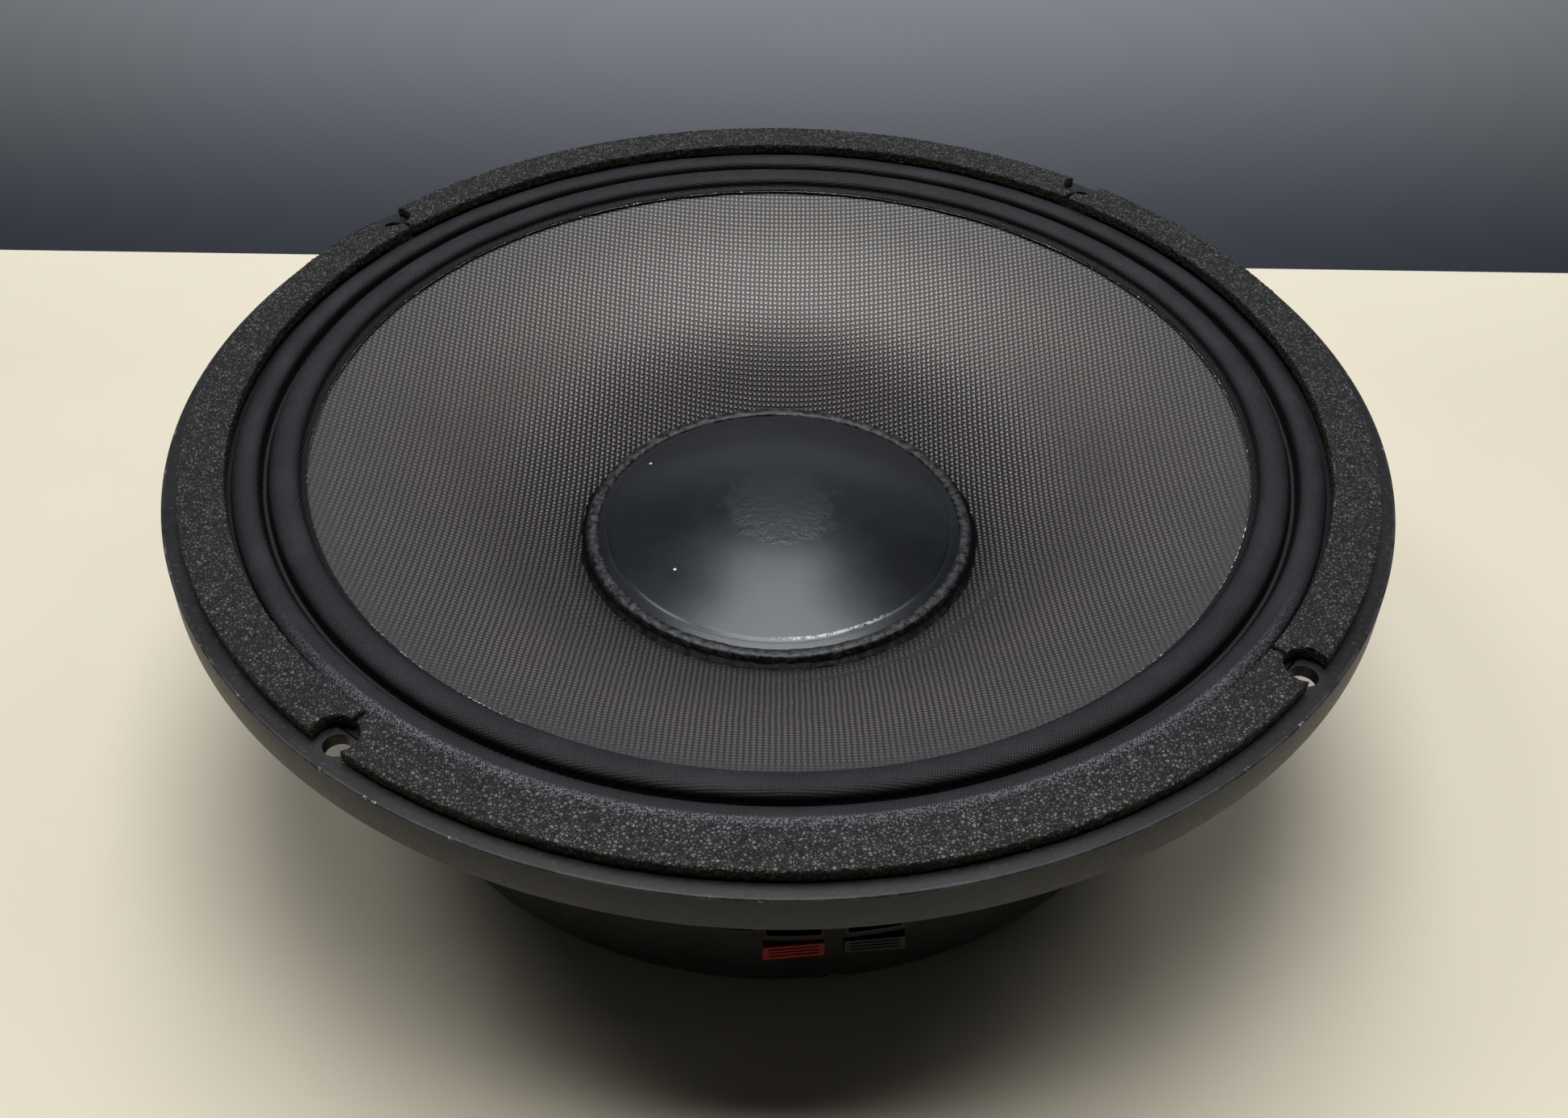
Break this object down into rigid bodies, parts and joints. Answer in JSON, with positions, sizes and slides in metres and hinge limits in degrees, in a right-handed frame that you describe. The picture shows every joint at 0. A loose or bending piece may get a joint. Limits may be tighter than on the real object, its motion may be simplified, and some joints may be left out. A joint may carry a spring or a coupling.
{
  "type": "subwoofer loudspeaker driver",
  "caption": "Round bass loudspeaker driver with woven cone, double-roll cloth surround, cork gasket, cast basket, ferrite motor and push-lever wire terminals.",
  "frame": {"origin": "centre of the back plate's rear face, which is the lowest point", "axes": "+Z along the voice coil's axis, the way the cone faces; -Y towards the wire terminal; +X to the viewer's right when the terminal faces the viewer"},
  "size_m": [0.315, 0.315, 0.1051],
  "materials": {
    "frame_paint": "satin grey paint on cast aluminium",
    "cork_gasket": "matte granulated cork and rubber, dark grey on top and brown on the cut sides",
    "black_steel": "black coated steel",
    "ferrite": "black coated ferrite",
    "screw_steel": "zinc-plated steel",
    "vent_mesh": "fine woven wire",
    "cone_cloth": "coated plain-weave cloth, brown-grey",
    "surround_cloth": "impregnated blue-black cloth",
    "spider_cloth": "amber impregnated cotton",
    "cap_coating": "satin blue-black coated paper",
    "black_glue": "glossy black adhesive",
    "coil_former": "amber polyimide film",
    "copper_winding": "enamelled copper-clad aluminium wire",
    "black_plastic": "matte moulded black",
    "red_plastic": "moulded red",
    "brass": "plain brass",
    "tinsel_braid": "braided copper tinsel"
  },
  "bodies": {
    "frame_and_motor": {"basket": "frame_paint", "gasket_segment_1": "cork_gasket", "gasket_segment_2": "cork_gasket", "gasket_segment_3": "cork_gasket", "gasket_segment_4": "cork_gasket", "back_plate": "black_steel", "pole_piece": "black_steel", "magnet": "ferrite", "top_plate": "black_steel", "vent_screen": "vent_mesh", "frame_screw_1": "screw_steel", "frame_screw_2": "screw_steel", "frame_screw_3": "screw_steel", "frame_screw_4": "screw_steel", "frame_screw_5": "screw_steel", "frame_screw_6": "screw_steel", "terminal_block": "black_plastic", "lever_pin": "screw_steel", "contact_spring_positive": "brass", "contact_spring_negative": "brass", "solder_tag_positive": "brass", "solder_tag_negative": "brass", "surround": "surround_cloth", "spider": "spider_cloth", "tinsel_lead_positive": "tinsel_braid", "tinsel_lead_negative": "tinsel_braid"},
    "cone_assembly": {"cone": "cone_cloth", "dust_cap": "cap_coating", "cap_glue_bead": "black_glue", "coil_former": "coil_former", "coil_winding": "copper_winding", "lead_pad_positive": "brass", "lead_pad_negative": "brass"},
    "red_lever": {"terminal_lever_red": "red_plastic"},
    "black_lever": {"terminal_lever_black": "black_plastic"}
  },
  "joints": [
    {"name": "cone_travel", "type": "slide", "parent": "frame_and_motor", "child": "cone_assembly", "axis": [0, 0, 1], "range_m": [-0.006, 0.006], "stiffness_N_per_m": 4000, "deforming": ["surround", "spider", "tinsel_lead_positive", "tinsel_lead_negative"]},
    {"name": "red_lever_press", "type": "hinge", "parent": "frame_and_motor", "child": "red_lever", "pos_m": [-0.0096, -0.1157, 0.0452], "axis": [1, 0, 0], "range_deg": [0, 14], "stiffness_Nm_per_rad": 0.05},
    {"name": "black_lever_press", "type": "hinge", "parent": "frame_and_motor", "child": "black_lever", "pos_m": [0.0096, -0.1157, 0.0452], "axis": [1, 0, 0], "range_deg": [0, 14], "stiffness_Nm_per_rad": 0.05}
  ]
}
